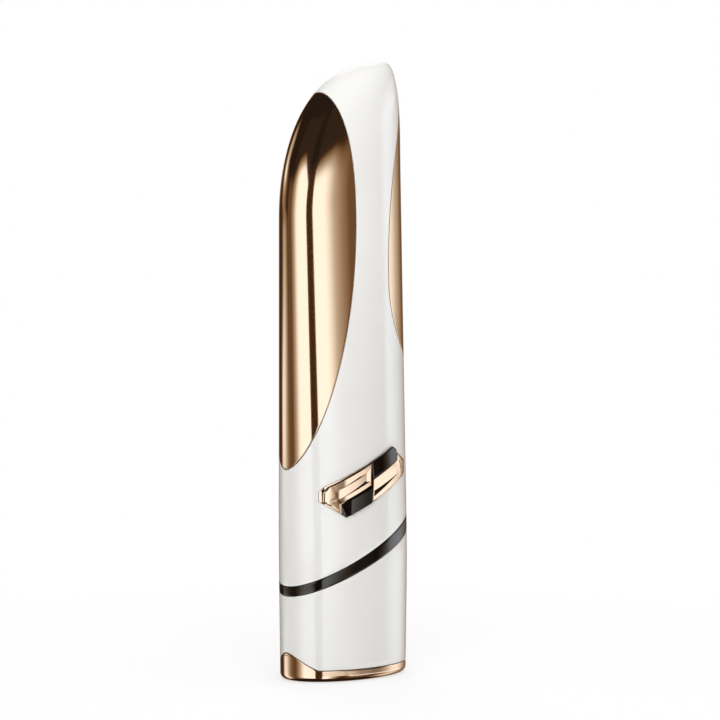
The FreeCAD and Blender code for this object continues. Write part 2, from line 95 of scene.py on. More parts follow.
def rings(level):
    """Left and right ends in the front view, half depth and middle depth of the ring at each level."""
    foot = np.clip(level, 0, 1)
    share = np.clip(level - 1, 0, 1)
    angle = np.clip(level - 2, 0, 1) * math.pi / 2
    inward = {side: np.cos(angle) ** (2 / power) for side, power in dome_powers.items()}
    upward = {side: np.sin(angle) ** (2 / power) for side, power in dome_powers.items()}
    over = wall_rise * share - widest_z * (1 - foot)
    ease = np.clip(ease_reach - np.abs(over), 0, None) ** 2 / (4 * ease_reach)
    left_rise = (tip[2] - shoulder_left_z) * upward["left"]
    right_rise = (tip[2] - shoulder_right_z) * upward["right"]
    carry = (left_rise + right_rise) / 2
    carry = carry * np.exp(-carry / ease_reach)
    half = [widest_half[i] - foot_slope[i] * widest_z * (1 - foot)
            + wall_slope[i] * (wall_rise * share + carry)
            + (wall_slope[i] - foot_slope[i]) * ease for i in (0, 1)]
    left = (tip[0] - (tip[0] + half[0]) * inward["left"],
            widest_z * foot + (shoulder_left_z - widest_z) * share + left_rise)
    right = (tip[0] + (half[0] - tip[0]) * inward["right"],
             widest_z * foot + (shoulder_right_z - widest_z) * share + right_rise)
    shift = shift_slope * (wall_rise * share + ease + carry)
    shift = shift + (tip[1] - shoulder_shift_y) * (1 - inward["depth"])
    return left, right, half[1] * inward["depth"], shift


def ring_points(level, turn):
    """Points of the skin; turn 0 is the right end, a quarter turn the back, half a turn the left end."""
    level, turn = np.broadcast_arrays(np.asarray(level, float), np.asarray(turn, float))
    left, right, half_depth, shift = rings(level)
    across = (1 + np.cos(turn)) / 2
    x = left[0] + (right[0] - left[0]) * across
    z = left[1] + (right[1] - left[1]) * across
    return np.stack([x, shift + half_depth * np.sin(turn), z], -1)


def skin(level, turn, inset=0.0):
    """Points of the skin moved in along its normal."""
    step = 1e-4
    tip_guard = 20 * step
    level, turn, inset = np.broadcast_arrays(level, turn, np.asarray(inset, float))
    near = np.clip(level, step, 3 - tip_guard)
    along = ring_points(near + step, turn) - ring_points(near - step, turn)
    around = ring_points(near, turn + step) - ring_points(near, turn - step)
    normal = np.cross(around, along)
    normal /= np.linalg.norm(normal, axis=-1, keepdims=True)
    return ring_points(level, turn) - normal * inset[..., None]


print("front of the shoulder at", skin(2.0, 1.5 * math.pi).round(2))

# %% [markdown]
# ## Finding places on the skin
# A line drawn on the front view, such as the slanted edge of the ring or the bowed edge of a gold
# plate, has to be found on the curved skin. Projecting curves with a modifier would do, but halving an
# interval over and over is simpler and exact enough for a seam a tenth of a millimetre wide.

# %% Searching the skin
halvings = 44


def halve(low, high, is_beyond):
    """Place between low and high where is_beyond turns true."""
    for _ in range(halvings):
        middle = (low + high) / 2
        beyond = is_beyond(middle)
        low = np.where(beyond, low, middle)
        high = np.where(beyond, middle, high)
    return (low + high) / 2


def level_on(turn, line):
    """Level at which the skin crosses a front-view line z = line(x), for each turn."""
    def is_beyond(level):
        point = ring_points(level, turn)
        return point[..., 2] > line(point[..., 0])
    return halve(np.zeros_like(turn), np.full_like(turn, 2.0), is_beyond)


def front_place(x, z):
    """Level and turn of the front of the skin at a point of the front view."""
    def is_beyond(level):
        left, right, _, _ = rings(level)
        share = (x - left[0]) / (right[0] - left[0])
        return left[1] + (right[1] - left[1]) * share > z
    level = halve(np.zeros_like(x), np.full_like(x, 2.0), is_beyond)
    left, right, _, _ = rings(level)
    across = np.clip(2 * (x - left[0]) / (right[0] - left[0]) - 1, -1, 1)
    return level, 2 * math.pi - np.arccos(across)


half_height = tip[2:] / 2
print("front at half height at", ring_points(*front_place(np.zeros(1), half_height)).round(2)[0])

# %% [markdown]
# ## From loops of points to a mesh
# Every smooth piece is a loft: a row of closed loops, joined by quads. Loops that shrink to a point are
# welded, so the dome closes at its tip and the leaf plates close at theirs. Shading is smooth, apart
# from edges sharper than a bevel's.

# %% Lofting
weld_distance = 2e-7
sliver_distance = 1e-7
loft_sharp_angle = 32
relief_sharp_angle = 24


def close_mesh(mesh, work, sharp_angle):
    """Write a work mesh back, with its normals outwards and smooth but for its sharp edges."""
    bmesh.ops.recalc_face_normals(work, faces=work.faces)
    work.to_mesh(mesh)
    work.free()
    mesh.shade_smooth()
    mesh.set_sharp_from_angle(angle=math.radians(sharp_angle))


def finish_mesh(name, points, faces, sharp_angle=loft_sharp_angle):
    """Object from points in millimetres, with doubled points welded."""
    mesh = bpy.data.meshes.new(name)
    mesh.from_pydata((points * MM).tolist(), [], [list(face) for face in faces])
    work = bmesh.new()
    work.from_mesh(mesh)
    bmesh.ops.remove_doubles(work, verts=work.verts, dist=weld_distance)
    bmesh.ops.dissolve_degenerate(work, edges=work.edges, dist=sliver_distance)
    close_mesh(mesh, work, sharp_angle)
    piece = bpy.data.objects.new(name, mesh)
    bpy.context.scene.collection.objects.link(piece)
    print(name, len(mesh.polygons), "faces")
    return piece


def loft(name, rows, closed=False):
    """Skin through loops of points, given as an array of rows, columns and coordinates."""
    rows = np.asarray(rows)
    index = np.arange(rows.shape[0] * rows.shape[1]).reshape(rows.shape[:2])
    above = np.roll(index, -1, axis=0)
    if not closed:
        index, above = index[:-1], above[:-1]
    quads = np.stack([index, np.roll(index, -1, 1), np.roll(above, -1, 1), above], -1)
    return finish_mesh(name, rows.reshape(-1, 3), quads.reshape(-1, 4))


def rounding(radius, steps=4):
    """Setback from an edge and inset of a quarter-round, from the face to the edge."""
    angles = np.linspace(0, math.pi / 2, steps + 1)
    return [(radius * (1 - math.sin(a)), radius * (1 - math.cos(a))) for a in angles]


print("edge rounding", np.round(rounding(0.15), 3).tolist())

# %% [markdown]
# ## The gold leaf plates
# Two thin plated shells lie in pockets on the narrow sides. Their edges in the front view are arcs that
# stand upright at the crest. A Boolean cut would leave ragged triangles along such a long thin edge, so
# each plate is lofted from its own loops: out along the skin, round the rim and back along the inside.

# %% Leaf outlines
seam = 0.16
lip = 0.08
leaf_thickness = 1.0
leaf_glue = 0.1
# Front-view points, the turn of the plate's narrow end, and the sign of a turn from there to the front
leaves = {
    "left": {"crest": (-2.55, 115.0), "foot": (-widest_half[0], 51.8), "top": (-6.6, 143.2),
             "end": math.pi, "front": 1},
    "right": {"crest": (7.75, 97.0), "foot": (widest_half[0], 75.4), "top": (12.4, 129.5),
              "end": 0.0, "front": -1},
}


def edge_arc(leaf, end):
    """Centre and radius of the arc from a leaf's crest, where it stands upright, to its foot or top."""
    crest = np.array(leaf["crest"])
    run, rise = np.array(leaf[end]) - crest
    radius = (run ** 2 + rise ** 2) / (2 * abs(run))
    return crest + np.array([math.copysign(radius, run), 0]), radius


def leaf_gap(leaf, x, z):
    """Front-view distance outside a leaf's outline, below zero inside it; past the top it runs straight."""
    arcs = {end: edge_arc(leaf, end) for end in ("foot", "top")}
    gaps = {end: np.hypot(x - middle[0], z - middle[1]) - radius for end, (middle, radius) in arcs.items()}
    middle, radius = arcs["top"]
    outward = (np.array(leaf["top"]) - middle) / radius
    from_top = np.stack([x, z], -1) - np.array(leaf["top"])
    past_top = (from_top @ np.array([-outward[1], outward[0]])) * leaf["front"] > 0
    crest_z = leaf["crest"][1]
    upper = np.where(past_top & (z > crest_z), from_top @ outward, gaps["top"])
    return np.where(z < crest_z, gaps["foot"], upper)


def gap_at(leaf, level, spread=0.0):
    """Distance outside a leaf's outline on each ring, at a turn away from the leaf's end."""
    point = ring_points(level, leaf["end"] + spread)
    return leaf_gap(leaf, point[..., 0], point[..., 2])


def leaf_spread(leaf, level, offset):
    """Turn from the leaf's own end of each ring to where its outline lies offset away, or 0."""
    return halve(np.zeros_like(level), np.full_like(level, math.pi),
                 lambda spread: gap_at(leaf, level, spread) > offset)


def leaf_levels(leaf):
    """Levels of the leaf's lowest and highest point."""
    foot = halve(np.array(1.0), np.array(2.0), lambda level: gap_at(leaf, level) < 0)
    top = halve(np.array(2.0), np.array(3.0), lambda level: gap_at(leaf, level) > 0)
    return float(foot), float(top)


for side, leaf in leaves.items():
    print(side, "leaf from level %.3f to %.3f" % leaf_levels(leaf))

# %% Leaf plates
plate_rows = 170
plate_columns = 44


def round_inset(past_edge, radius):
    """Inset of a quarter-round rim at a distance inside its edge."""
    short = np.clip(radius - past_edge, 0, radius)
    return radius - np.sqrt(radius ** 2 - short ** 2)


def leaf_plate(name, leaf):
    """Closed shell of one plate, from its foot to its top."""
    foot, top = leaf_levels(leaf)
    level = foot + (top - foot) * (1 - np.cos(np.linspace(0, math.pi, plate_rows))) / 2
    at_end = np.minimum(gap_at(leaf, level), 0)
    half = []
    for setback, inset in reversed(rounding(lip)):
        spread = leaf_spread(leaf, level, -setback)
        half.append((spread, np.where(-setback < at_end, round_inset(-at_end, lip), inset)))
    flush = round_inset(-at_end, lip)
    half += [(spread * share, flush) for share in np.linspace(1, 0, plate_columns)[1:]]
    rim = half[0][0]
    sunk = np.full_like(level, leaf_thickness)
    inner = [(rim * share, sunk) for share in np.linspace(-1, 1, plate_columns)]
    outer = half + [(-turn, inset) for turn, inset in half[-2::-1]]
    loops = [skin(level, leaf["end"] + leaf["front"] * turn, inset) for turn, inset in outer + inner]
    return loft(name, np.stack(loops, 1))


left_leaf = leaf_plate("left_gold_leaf", leaves["left"])
right_leaf = leaf_plate("right_gold_leaf", leaves["right"])

# %% [markdown]
# ## Slanted lines round the body
# The ring, the casings and the foot cap meet along lines that are simple in the front view: straight
# and slanted for the ring, level with an upswept tongue for the cap.

# %% Joint lines
band_top = (31.7, 0.472)
band_bottom = (28.3, 0.425)
cap_line_z = 2.84
tongue_start = np.array([-13.3, cap_line_z])
tongue_peak = np.array([-widest_half[0], 7.5])
tongue_bow = 0.85
foot_seam = 0.13
joint_gap = 0.05


def slanted(line, lift=0.0):
    """Front-view line z(x) from its middle height and slope."""
    return lambda x: line[0] + lift + line[1] * x


def circle_through(a, b, c):
    """Centre and radius of the circle through three points."""
    matrix = 2 * np.array([b - a, c - a])
    centre = np.linalg.solve(matrix, np.array([b @ b - a @ a, c @ c - a @ a]))
    return centre, float(np.hypot(*(a - centre)))


tongue_middle = (tongue_start + tongue_peak) / 2 - np.array([0, tongue_bow])
tongue_centre, tongue_radius = circle_through(tongue_start, tongue_middle, tongue_peak)


def cap_line(lift=0.0):
    """Top line of the foot cap, raised by lift."""
    def line(x):
        run = np.clip(x, tongue_peak[0], tongue_start[0]) - tongue_centre[0]
        return lift + tongue_centre[1] - np.sqrt(tongue_radius ** 2 - run ** 2)
    return line


print("tongue radius %.1f mm" % tongue_radius)

# %% Ring-shaped pieces
ring_columns = 288
casing_wall = 2.0
lower_casing_edge = 0.09
lower_casing_rows = 26
gloss_ring_wall = 2.6
gloss_ring_edge = 0.2
gloss_ring_rows = 10


def ring_piece(name, low, high, thickness, radius, rows):
    """Closed band of the skin between two front-view lines, with rounded edges."""
    turn = np.linspace(0, 2 * math.pi, ring_columns, endpoint=False)
    edge = rounding(radius)
    low_levels = [level_on(turn, lambda x: low(x) + setback) for setback, _ in edge]
    high_levels = [level_on(turn, lambda x: high(x) - setback) for setback, _ in edge]
    loops = [skin(level, turn, inset) for level, (_, inset) in zip(low_levels[::-1], edge[::-1])]
    for share in np.linspace(0, 1, rows)[1:-1]:
        loops.append(skin(low_levels[0] + (high_levels[0] - low_levels[0]) * share, turn))
    loops += [skin(level, turn, inset) for level, (_, inset) in zip(high_levels, edge)]
    for share in np.linspace(1, 0, rows):
        loops.append(skin(low_levels[-1] + (high_levels[-1] - low_levels[-1]) * share, turn, thickness))
    return loft(name, loops, closed=True)


lower_casing = ring_piece("lower_white_casing", cap_line(foot_seam), slanted(band_bottom),
                          casing_wall, lower_casing_edge, lower_casing_rows)
gloss_ring = ring_piece("black_gloss_ring", slanted(band_bottom, joint_gap), slanted(band_top, -joint_gap),
                        gloss_ring_wall, gloss_ring_edge, gloss_ring_rows)

# %% [markdown]
# ## The gold foot
# The foot cap runs from the tongue's edge down round the rounded foot, under the floor and into the
# slot of the charging inlet. One closed strip of loops does it all, and the slot's outline is walked at
# an even pace so that its corners line up with the ellipse.

# %% Charging slot
slot_half_width = 4.59
slot_half_depth = 1.7
slot_edge = 0.15


def foot_ring(turn, inset, z):
    """Ellipse of the foot at a height, drawn in by an inset."""
    half = base_half + foot_slope * z - inset
    return np.stack([half[0] * np.cos(turn), half[1] * np.sin(turn), np.full_like(turn, z)], -1)


def slot_ring(turn, z):
    """Stadium outline of the charging slot, walked at an even pace from its right end."""
    reach = slot_half_width - slot_half_depth
    bend = slot_half_depth * math.pi / 2
    quarter = bend + reach
    way = np.abs((turn / (math.pi / 2) * quarter + 2 * quarter) % (4 * quarter) - 2 * quarter)
    past = np.abs(way - quarter)
    angle = np.clip(past - reach, 0, bend) / slot_half_depth
    x = np.minimum(past, reach) + slot_half_depth * np.sin(angle)
    x = np.where(way < quarter, x, -x)
    y = np.sign(np.sin(turn)) * slot_half_depth * np.cos(angle)
    return np.stack([x, y, np.full_like(turn, z)], -1)


print("charging slot %.2f by %.2f mm" % (2 * slot_half_width, 2 * slot_half_depth))

# %% Foot cap
foot_radius = 1.4
cap_floor = 1.8
cap_wall = 2.0
cap_edge = 0.1
cap_rows = 9
foot_bends = 9
sole_shares = (0.3, 0.6, 0.97, 1.0)


def foot_cap(name):
    """Closed strip from the tongue's edge round the foot, along the sole and up into the slot."""
    turn = np.linspace(0, 2 * math.pi, ring_columns, endpoint=False)
    edge = rounding(cap_edge)
    tops = [level_on(turn, lambda x: cap_line()(x) - setback) for setback, _ in edge]
    loops = [skin(level, turn, inset) for level, (_, inset) in zip(tops[::-1], edge[::-1])]
    foot_level = foot_radius / widest_z
    for share in np.linspace(0, 1, cap_rows)[1:-1]:
        loops.append(skin(tops[0] + (foot_level - tops[0]) * share, turn))
    for angle in np.linspace(0, math.pi / 2, foot_bends):
        inset = foot_radius * (1 - math.cos(angle))
        loops.append(foot_ring(turn, inset, foot_radius * (1 - math.sin(angle))))
    rim = foot_ring(turn, foot_radius, 0.0)
    slot = slot_ring(turn, 0.0)
    loops += [rim + (slot - rim) * share for share in sole_shares]
    loops += [slot_ring(turn, slot_edge), slot_ring(turn, cap_floor)]
    loops += [foot_ring(turn, cap_wall, cap_floor)]
    loops += [skin(tops[-1], turn, cap_wall)]
    return loft(name, loops, closed=True)


foot = foot_cap("gold_foot_cap")

# %% [markdown]
# ## The white upper casing
# One skin covers everything from the ring to the tip. Each loop runs along the back, dips under the
# left plate, crosses the front and dips under the right plate. Where a plate isn't there, its columns
# fold up at the narrow end and are welded away.

# %% Columns and loops of the upper casing
strip_columns = 88
floor_shares = (0.9, 0.7, 0.5, 0.3, 0.1)
casing_start = 1.18
wall_loops = 76
dome_loops = 52
tip_loops = 31
tip_reach = 0.05


def pocket_half(leaf, level):
    """Columns from the white rim of a leaf's pocket down to its floor, as turn from the end and inset."""
    depth = leaf_thickness + leaf_glue
    at_end = gap_at(leaf, level)
    past = round_inset(at_end - seam, lip)
    columns = []
    for setback, inset in rounding(lip):
        spread = leaf_spread(leaf, level, seam + setback)
        columns.append((spread, np.where(at_end > seam + setback, past, inset)))
    sunk = np.where(at_end > seam, past, depth)
    columns.append((spread, sunk))
    return columns + [(spread * share, sunk) for share in floor_shares]


def casing_columns(level):
    """Turn and inset of every column of the upper casing, once round each level."""
    left, right = (pocket_half(leaves[side], level) for side in ("left", "right"))
    strip = np.linspace(0, 1, strip_columns)[1:-1]
    columns = [(turn, inset) for turn, inset in right[::-1]]
    start, stop = right[0][0], math.pi - left[0][0]
    columns += [(start + (stop - start) * share, np.zeros_like(level)) for share in strip]
    columns += [(math.pi - turn, inset) for turn, inset in left]
    columns += [(math.pi + turn, inset) for turn, inset in left[::-1]]
    start, stop = math.pi + left[0][0], 2 * math.pi - right[0][0]
    columns += [(start + (stop - start) * share, np.zeros_like(level)) for share in strip]
    columns += [(2 * math.pi - turn, inset) for turn, inset in right]
    return np.stack([turn for turn, _ in columns], 1), np.stack([inset for _, inset in columns], 1)


def casing_levels():
    """Levels of the loops, close together at the tips of both plates."""
    levels = [np.linspace(casing_start, 2, wall_loops), np.linspace(2, 3, dome_loops)]
    for leaf in leaves.values():
        for tip_level in leaf_levels(leaf):
            levels.append(tip_level + tip_reach * np.linspace(-1, 1, tip_loops) ** 3)
    return np.unique(np.round(np.concatenate(levels), 5))


print(len(casing_levels()), "loops")

# %% Upper casing
casing_edge = 0.12
skirt_loops = 14
inner_dome_loops = 24
inner_wall_loops = 16


def upper_casing(name):
    """Closed shell of the upper casing, from its inside over the lower edge to the tip."""
    level = casing_levels()
    turn, inset = casing_columns(level)
    outer = skin(level[:, None], turn, inset)
    plain = turn[0]
    line = slanted(band_top)
    edge = rounding(casing_edge)
    levels = [level_on(plain, lambda x: line(x) + setback) for setback, _ in edge]
    low = [skin(at_level, plain, rim) for at_level, (_, rim) in zip(levels[::-1], edge[::-1])]
    for share in np.linspace(0, 1, skirt_loops)[1:-1]:
        low.append(skin(levels[0] + (casing_start - levels[0]) * share, plain))
    inner_levels = np.concatenate([np.linspace(3, 2, inner_dome_loops)[1:],
                                   np.linspace(2, casing_start, inner_wall_loops)[1:]])
    inside = [np.broadcast_to(tip - [0, 0, casing_wall], outer[0].shape)]
    inside += [skin(np.full_like(plain, at_level), plain, casing_wall) for at_level in inner_levels]
    inside += [skin(levels[-1], plain, casing_wall)]
    return loft(name, np.concatenate([inside, low, outer]))


white_casing = upper_casing("upper_white_casing")

# %% [markdown]
# ## The badge
# The badge is modelled flat, as jewellers chase a plate before they bend it: an outline, crease lines
# and a height. A constrained triangulation keeps every crease sharp, which a grid with a displacement
# could not do on slanted edges. The finished relief is then wrapped on the front of the body. The walls
# of the buttons and of the bezel run straight along the press, so that the buttons slide freely, and
# the pads lean a little to catch light.

# %% Badge outline
badge_z = 48.45
badge_slope = 0.461
badge_left = [(-12.1, 5.12), (-13.25, 4.36), (-13.25, 2.0), (-7.2, -4.8)]
badge_outline = np.array(badge_left + [(-u, -w) for u, w in badge_left])


def depth_in(outline, flat):
    """Distance of flat points from a closed outline, above zero inside it."""
    flat = np.asarray(flat, float)
    nearest = np.full(flat.shape[:-1], np.inf)
    inside = np.zeros(flat.shape[:-1], bool)
    for a, b in zip(outline, np.roll(outline, -1, axis=0)):
        along = b - a
        share = np.clip((flat - a) @ along / (along @ along), 0, 1)
        nearest = np.minimum(nearest, np.linalg.norm(flat - a - share[..., None] * along, axis=-1))
        crosses = (a[1] > flat[..., 1]) != (b[1] > flat[..., 1])
        rise = np.where(along[1] == 0, 1.0, along[1])
        inside ^= crosses & (flat[..., 0] < a[0] + along[0] * (flat[..., 1] - a[1]) / rise)
    return np.where(inside, nearest, -nearest)


def badge_flat(x, z):
    """Badge coordinates of front-view points: across, and up from the slanted centre line."""
    return np.stack([x, z - badge_z - badge_slope * x], -1)


print("badge", np.ptp(badge_outline, axis=0), "mm")

# %% Relief tools
relief_cell = 0.42
merge_distance = 1e-5


def grown(outline, distance):
    """Outline with every side moved out by a distance, or in where that is negative."""
    outline = np.asarray(outline, float)
    before = np.roll(outline, 1, axis=0)
    after = np.roll(outline, -1, axis=0)
    corners = []
    for a, b, c in zip(before, outline, after):
        first = (b - a) / np.linalg.norm(b - a)
        second = (c - b) / np.linalg.norm(c - b)
        out_first = np.array([first[1], -first[0]])
        out_second = np.array([second[1], -second[0]])
        mitre = out_first + out_second
        corners.append(b + mitre * distance / (1 + out_first @ out_second))
    return np.array(corners)


def divided(outline):
    """Points along a closed outline, no further apart than a relief cell."""
    points = []
    for a, b in zip(outline, np.roll(outline, -1, axis=0)):
        parts = max(1, math.ceil(np.linalg.norm(b - a) / relief_cell))
        points += [a + (b - a) * k / parts for k in range(parts)]
    return points


def wrapped(flat, height, straight):
    """Flat badge points at a height over the skin; straight ones, and what is sunk, run along the press."""
    level, turn = front_place(flat[:, 0], badge_z + badge_slope * flat[:, 0] + flat[:, 1])
    height = np.broadcast_to(height, turn.shape)
    raised = np.zeros_like(height) if straight else np.maximum(height, 0)
    points = skin(level, turn, -raised)
    points[:, 1] -= height - raised
    return points


def relief(name, outline, creases, height, bottom, half_turn=1, straight=False):
    """Closed solid with a height over an outline; a half turn of -1 makes the badge's other half."""
    loops = [np.asarray(loop, float) for loop in [outline] + creases]
    points, edges = [], []
    for loop in loops:
        fine = divided(loop)
        first = len(points)
        edges += [(first + k, first + (k + 1) % len(fine)) for k in range(len(fine))]
        points += fine
    low, high = np.min(outline, axis=0), np.max(outline, axis=0)
    steps = [np.arange(a, b, relief_cell) for a, b in zip(low, high)]
    grid = np.stack(np.meshgrid(*steps), -1).reshape(-1, 2)
    clear = np.min([np.abs(depth_in(loop, grid)) for loop in loops], axis=0)
    points += list(grid[(depth_in(outline, grid) > 0) & (clear > relief_cell / 3)])
    places = [Vector(point) for point in points]
    found, _, triangles, _, _, _ = delaunay_2d_cdt(places, edges, [], 0, merge_distance)
    flat = np.array([tuple(v) for v in found])
    triangles = np.array(triangles)
    triangles = triangles[depth_in(outline, flat[triangles].mean(axis=1)) > 0]
    sides = np.stack([triangles, np.roll(triangles, -1, axis=1)], -1).reshape(-1, 2)
    known = {tuple(edge) for edge in sides.tolist()}
    rim = [edge for edge in known if (edge[1], edge[0]) not in known]
    count = len(flat)
    layers = [wrapped(half_turn * flat, part, straight) for part in (height(flat), bottom)]
    points = np.concatenate(layers)
    faces = triangles.tolist() + (triangles[:, ::-1] + count).tolist()
    faces += [(b, a, a + count, b + count) for a, b in rim]
    return finish_mesh(name, points, faces, relief_sharp_angle)


def edge_drop(outline, flat, width, drop):
    """Height lost to a bevel along an outline."""
    return drop * (1 - np.clip(depth_in(outline, flat) / width, 0, 1))


print("relief cells of", relief_cell, "mm")

# %% Channels of the buttons
button_outline = np.array([(-11.5, 4.72), (-12.55, 3.98), (-12.55, 1.7), (-8.9, -2.4),
                           (-8.9, -0.6), (-0.3, -0.6), (-0.3, 4.72)])
channel_low, channel_high = np.array([-9.6, 0.55]), np.array([-0.55, 3.75])
channel_slant = 0.1
channel_depth = 0.75
channel_slopes = {"outer": 0.7, "inner": 4.0, "end": 1.1}
floor_slope = channel_depth / (channel_high[0] - channel_low[0])


def channel_drop(flat):
    """Depth of the sunk channel, whose floor runs down from the button's end to a steep inner wall."""
    across = channel_high[0] - flat[:, 0]
    walls = [(channel_high[1] - channel_slant * across - flat[:, 1]) * channel_slopes["outer"],
             (flat[:, 1] - channel_low[1]) * channel_slopes["inner"],
             across * channel_slopes["end"], (flat[:, 0] - channel_low[0]) * floor_slope]
    return np.clip(np.minimum.reduce(walls), 0, None)


def channel_creases():
    """Loops round the channel's four faces."""
    (left, low), (right, high) = channel_low, channel_high
    bottom = (channel_slopes["end"] * right + floor_slope * left) / (channel_slopes["end"] + floor_slope)
    depth = (bottom - left) * floor_slope
    high_left = high - channel_slant * (right - left)
    floor_high = (bottom, high - channel_slant * (right - bottom) - depth / channel_slopes["outer"])
    floor_low = (bottom, low + depth / channel_slopes["inner"])
    floor = [(left, low), floor_low, floor_high, (left, high_left)]
    inner_wall = [(left, low), (right, low), floor_low]
    outer_wall = [(left, high_left), floor_high, (right, high)]
    end_wall = [(right, low), (right, high), floor_high, floor_low]
    return [floor, inner_wall, outer_wall, end_wall]


print("channel floor slopes by %.3f" % floor_slope)

# %% Buttons
button_proud = 0.62
button_bottom = -0.8
button_bevel = 0.1
button_bevel_drop = 0.05
button_leans = {1: 0.075, -1: -0.085}
button_middle = 1.8
end_crease = np.array([(-11.1, 4.72), (-8.8, -0.6)])
end_slope = 0.08
mark_rise = 0.12
mark_places = {1: [(-10.45, 0.75)], -1: [(-11.2, 2.6), (-10.75, 1.6), (-10.3, 0.6)]}
mark_radii = {1: (0.45, 0.57, 0.77, 0.89), -1: (0.0, 0.05, 0.18, 0.3)}
mark_heights = {1: (0, mark_rise, mark_rise, 0), -1: (mark_rise, mark_rise, mark_rise, 0)}
least_crease_radius = 0.1


def circle(middle, radius, count=28):
    """Points round a circle."""
    angles = np.arange(count) * 2 * math.pi / count
    return np.stack([middle[0] + radius * np.cos(angles), middle[1] + radius * np.sin(angles)], -1)


def button_height(side):
    """Height of a button's pad: it leans, slopes off at its end and carries the channel and the marks."""
    run = end_crease[1] - end_crease[0]
    outward = np.array([run[1], -run[0]]) / np.hypot(*run)

    def height(flat):
        past_crease = np.clip((flat - end_crease[0]) @ outward, 0, None)
        top = button_proud + button_leans[side] * (flat[:, 1] - button_middle) - end_slope * past_crease
        top = top - edge_drop(button_outline, flat, button_bevel, button_bevel_drop) - channel_drop(flat)
        for middle in mark_places[side]:
            away = np.hypot(*(flat - np.array(middle)).T)
            top = top + np.interp(away, mark_radii[side], mark_heights[side], right=0)
        return top
    return height


def make_button(name, side):
    """Button with walls along the press; side 1 is the left one, -1 the right one."""
    creases = [grown(button_outline, -button_bevel)] + channel_creases()
    radii = [radius for radius in mark_radii[side] if radius > least_crease_radius]
    creases += [circle(middle, radius) for middle in mark_places[side] for radius in radii]
    return relief(name, button_outline, creases, button_height(side), button_bottom, side, straight=True)


left_button = make_button("left_gold_button", 1)
right_button = make_button("right_gold_button", -1)

# %% Inlays
inlay_outline = np.array([(-8.5, -0.9), (-8.5, -3.34), (-7.2, -4.8), (0.0, -4.92), (0.0, -0.9)])
inlay_proud = 0.9
inlay_least = 0.03
inlay_bottom = -0.4
inlay_middle = -2.9
inlay_leans = {1: 0.125, -1: 0.09}
inlay_bevel = 0.2
inlay_bevel_drop = 0.12
inlay_creases = {1: -6.1, -1: -8.3}
inlay_end_slope = 0.48
facet_width = 0.4
facet_top = -1.0
facet_foot = np.array([(-8.5, -3.1), (-7.2, -4.6)])


def make_inlay(name, side):
    """Inlay that leans, with a facet that slopes off beyond a crease near its outer end."""
    crease = inlay_creases[side]
    past = crease + facet_width
    low = np.interp(crease, facet_foot[:, 0], facet_foot[:, 1])
    facet = [(crease, low), (crease, facet_top), (past, facet_top), (past, low)]

    def height(flat):
        end = inlay_end_slope * np.clip(crease - flat[:, 0], 0, None)
        top = inlay_proud + inlay_leans[side] * (flat[:, 1] - inlay_middle) - end
        top = top - edge_drop(inlay_outline, flat, inlay_bevel, inlay_bevel_drop)
        return np.maximum(top, inlay_least)
    creases = [grown(inlay_outline, -inlay_bevel), facet]
    return relief(name, inlay_outline, creases, height, inlay_bottom, side)


left_inlay = make_inlay("left_black_inlay", 1)
right_inlay = make_inlay("right_black_inlay", -1)

# %% Bezel
bezel_proud = 0.3
bezel_bottom = -1.65
bezel_bevel = 0.12
bezel_bevel_drop = 0.015
bezel_end_x = 12.35
bezel_end_slope = 0.2
button_clearance = 0.1
pit_depth = 1.45
inlay_seat = -0.02
seat_depth = 0.35
pit_wall = 0.03
on_outline = 1e-6


def bezel_height(flat):
    """Height of the bezel, with a pit for each button and a seat for each inlay."""
    top = bezel_proud - edge_drop(badge_outline, flat, bezel_bevel, bezel_bevel_drop)
    top = top - bezel_end_slope * np.clip(np.abs(flat[:, 0]) - bezel_end_x, 0, None)
    for side in (1, -1):
        for outline, floor in ((grown(button_outline, button_clearance), -pit_depth),
                               (grown(inlay_outline, inlay_seat), -seat_depth)):
            pit = depth_in(outline, side * flat)
            sunk = np.interp(pit, (0, pit_wall), (0, 1)) * (floor - top) + top
            top = np.where(pit > -on_outline, sunk, top)
    return top


bezel_creases = []
for side in (1, -1):
    for outline, grow in ((button_outline, button_clearance), (inlay_outline, inlay_seat)):
        bezel_creases += [side * grown(outline, grow), side * grown(outline, grow - pit_wall)]
bezel = relief("gold_badge_bezel", badge_outline, bezel_creases, bezel_height, bezel_bottom, straight=True)

# %% [markdown]
# ## The badge's pocket
# The badge is let into the white casing, in a pocket deep enough for the buttons' travel. A Boolean cut
# is the usual way, but it is fragile on a thin closed shell. Here the skin is split along each side of
# the badge's outline, and what lies within is pushed straight back, so that the pocket keeps upright
# walls.

# %% Pocket of the badge
pocket_clearance = 0.03
pocket_outline = grown(badge_outline, pocket_clearance)
pocket_depth = 1.75
cut_margin = 2.0


def front_faces(work, outline, margin):
    """Faces of the outer skin whose middle lies within an outline, or a margin outside it."""
    faces = [face for face in work.faces if face.normal.y < 0]
    middles = np.array([face.calc_center_median() for face in faces]) / MM
    near = depth_in(outline, badge_flat(middles[:, 0], middles[:, 2])) > -margin
    return [face for face, is_near in zip(faces, near & (middles[:, 1] < 0)) if is_near]


